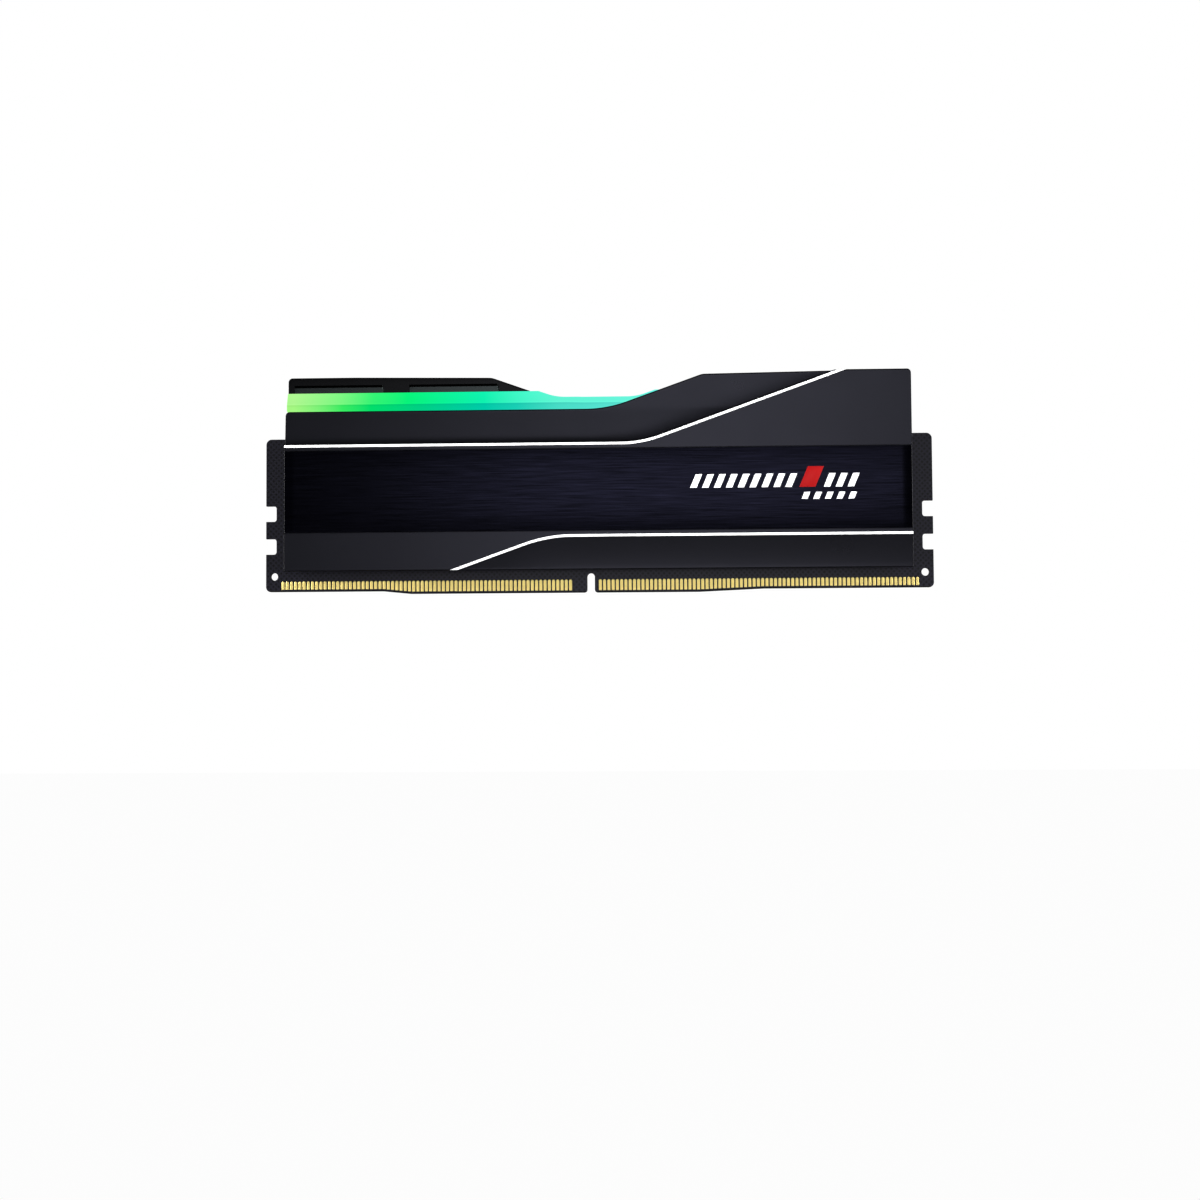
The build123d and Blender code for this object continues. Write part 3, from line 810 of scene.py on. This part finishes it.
def bar_points():
    """The bar's outlines: stem, seat, upright facet, leaning facet and top, front and then back."""
    x = columns_along(half_bar, 0.8, [(-dip_run, dip_run, 0.2)], bar_end_round)
    from_end = half_bar - np.abs(x)
    fall = rounding(from_end, bar_end_round)
    small = rounding(from_end, stem_round)
    stem = gap_y - small
    top = bar_top_line(x) - small
    top_edge = top - bar_edge
    taper = np.clip((np.abs(x) - head_start) / head_taper, 0, 1)
    head = gap_y + (head_y - gap_y) * taper - fall
    lean = facet_run / (bar_top - crease_z)
    rows = []
    for side in (-1, 1):
        has_head = (side * x > 0).astype(float)
        reach = np.where(has_head > 0, np.maximum(head, stem), stem)
        low_crease = np.minimum(crease_z + (head_y - fall - reach) / lean, top_edge)
        crease = np.where(has_head > 0, low_crease, top_edge)
        leaning_y = np.minimum(reach, head_y - fall - (top - crease_z) * lean)
        top_y = np.where(has_head > 0, leaning_y, reach)
        seat = np.where(reach > stem + 0.01, seat_z + small, seat_z)
        side_rows = [
            (stem, shoulder_z + small),
            (stem, seat),
            (np.maximum(stem, reach - bar_edge), seat),
            (reach, seat + bar_edge * (reach > stem + 0.05)),
            (reach, crease - bar_edge * has_head),
            (reach - 0.25 * bar_edge * has_head, crease + 0.35 * bar_edge * has_head),
            (top_y + 0.6 * bar_edge * lean * has_head, top - 0.6 * bar_edge),
            (top_y - 0.8 * bar_edge, top),
        ]
        rows.append([(side * y, z) for y, z in side_rows])
    loop = rows[0] + rows[1][::-1]
    y = np.column_stack([row[0] for row in loop])
    z = np.column_stack([row[1] for row in loop])
    return np.stack([np.broadcast_to(x[:, None], y.shape), y, z], -1)


grid = bar_points()
faces = tube_faces(*grid.shape[:2])
bar = piece("diffuser_bar", grid.reshape(-1, 3), faces, bar_finish, 25.0)
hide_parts("light_bar")

# %% [markdown]
# ## The gold contacts
# Each contact is copper plated with hard gold, very slightly domed, with a rounded upper end. One
# contact is a closed outline carried up the board, and its copies are made by adding an array of
# places to an array of points. The lower ends follow the contact edge, which steps up at both ends.

# %% Contacts
contact_pitch, contact_width, contact_gap = 0.85, 0.6, 5.95
left_count, right_count, contact_top = 69, 75, 2.65
edge_step, edge_corners = 0.55, (-43.0, -37.5, 20.3, 33.0)
contact_lift, foot_draft = 0.45, 0.04
first_contact = box_mm("contacts_front")[0][0] + contact_width / 2
left_row = first_contact + contact_pitch * np.arange(left_count)
right_row = left_row[-1] + contact_gap + contact_pitch * np.arange(right_count)
contact_x = np.concatenate([left_row, right_row])
edge_height = np.interp(contact_x, edge_corners, (edge_step, 0.0, 0.0, edge_step))


def contact_points():
    """Copies of a domed strip, r wide each side of its middle, with a foot that is a little narrower.

    In the round end, whose centre is r below the top, the half width is sqrt(r ** 2 - above ** 2).
    """
    share = np.array([0.0, 0.04, 0.5, 0.87, 0.95, 0.99, 1.0])
    foot_z = edge_height[:, None] + contact_lift
    z = foot_z + share * (contact_top - foot_z)
    r = contact_width / 2
    above = np.clip(z - (contact_top - r), 0, r * 0.999)
    half = np.sqrt(r**2 - above**2)
    half[:, 0] -= foot_draft
    across = np.array([-1.0, -1.0, -0.6, 0.0, 0.6, 1.0, 1.0])
    dome = np.array([0.0, 0.035, 0.065, 0.08, 0.065, 0.035, 0.0])
    x = contact_x[:, None, None] + half[..., None] * across
    y = np.broadcast_to(-board_y - dome, x.shape)
    return np.stack([x, y, np.broadcast_to(z[..., None], x.shape)], -1)


grid = contact_points()
single = tube_faces(*grid.shape[1:3])
size = grid.shape[1] * grid.shape[2]
faces = [[corner + size * i for corner in face] for i in range(len(grid)) for face in single]
points = grid.reshape(-1, 3)
for name, place in (("front", points), ("back", points * (1.0, -1.0, 1.0))):
    contacts = piece(f"gold_contacts_{name}", place, faces, gold_finish, 50.0)
    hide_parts(f"contacts_{name}")

# %% [markdown]
# ## The printed mark
# A pad-printed mark sits at the right of each band. Here it is a generic one: a row of slanted white
# bars with a taller red one, and a shorter row below. Each bar is a plate a few hundredths of a
# millimetre thick, pushed sideways in proportion to its height, which is a shear.

# %% Mark
mark_shear, paint_proud, paint_sink, paint_edge = 0.42, 0.03, 0.02, 0.012
mark_foot, mark_head, red_head = 20.5, 23.2, 24.6
small_foot, small_head = 18.1, 19.5


def mark_points(left, width, low, high):
    """A slanted bar: a flat box sheared in proportion to the height above its foot."""
    face = band_low[1]
    bar = rounded_box((left, face - paint_proud, low), (left + width, face + paint_sink, high),
                      paint_edge, spacing=50.0, steps=2)
    bar[..., 0] += mark_shear * (bar[..., 2] - low)
    return bar


def gather(name, bars, material):
    """Joins several slanted bars into one piece, on the front, and turned half a turn on the back."""
    points, faces, start = [], [], 0
    for bar_sizes in bars:
        grid = mark_points(*bar_sizes)
        faces += tube_faces(*grid.shape[:2], start=start)
        points.append(grid.reshape(-1, 3))
        start += len(points[-1])
    points = np.concatenate(points)
    piece(f"{name}_front", points, faces, material)
    piece(f"{name}_back", half_turn(points), faces, material)


def bar_row(left, count, pitch, width, low, high):
    """Equal bars at an even pitch, each as its left edge, width, foot and head."""
    return [(left + pitch * i, width, low, high) for i in range(count)]


white_bars = bar_row(18.6, 9, 2.35, 1.3, mark_foot, mark_head)
white_bars += bar_row(45.0, 3, 2.35, 1.3, mark_foot, mark_head)
white_bars += bar_row(40.6, 5, 2.3, 1.2, small_foot, small_head)
red_finish = plain_finish("red_pad_print", "#9a0609", 0.4, speck=0.05)
gather("white_mark", white_bars, line_finish)
gather("red_mark", [(40.2, 3.2, mark_foot, red_head)], red_finish)

# %% [markdown]
# ## The pieces that come straight from the frame
# The board, the enamel lines, the chips, the pads and the small parts keep their CAD shapes. The
# record names a material slot for each, and each slot has its finish.

# %% Put the finishes on the CAD pieces that stay as they are
finishes = {
    "board_mask": mask_finish, "contact_gold": gold_finish, "chip_epoxy": epoxy_finish,
    "pad_silicone": silicone_finish, "inductor_ferrite": ferrite_finish,
    "capacitor_ceramic": ceramic_finish, "resistor_glaze": glaze_finish, "led_lens": lens_finish,
    "line_enamel": line_finish, "shell_anodised": shell_finish, "band_brushed": band_finish,
    "light_diffuser": lens_finish,
}
for subpart in frame["record"]["subparts"]:
    node = frame["nodes"][subpart["node"]]
    if not node.material_slots:
        node.data.materials.append(None)
    for holder in node.material_slots:
        holder.material = finishes[subpart["material_slot"]]
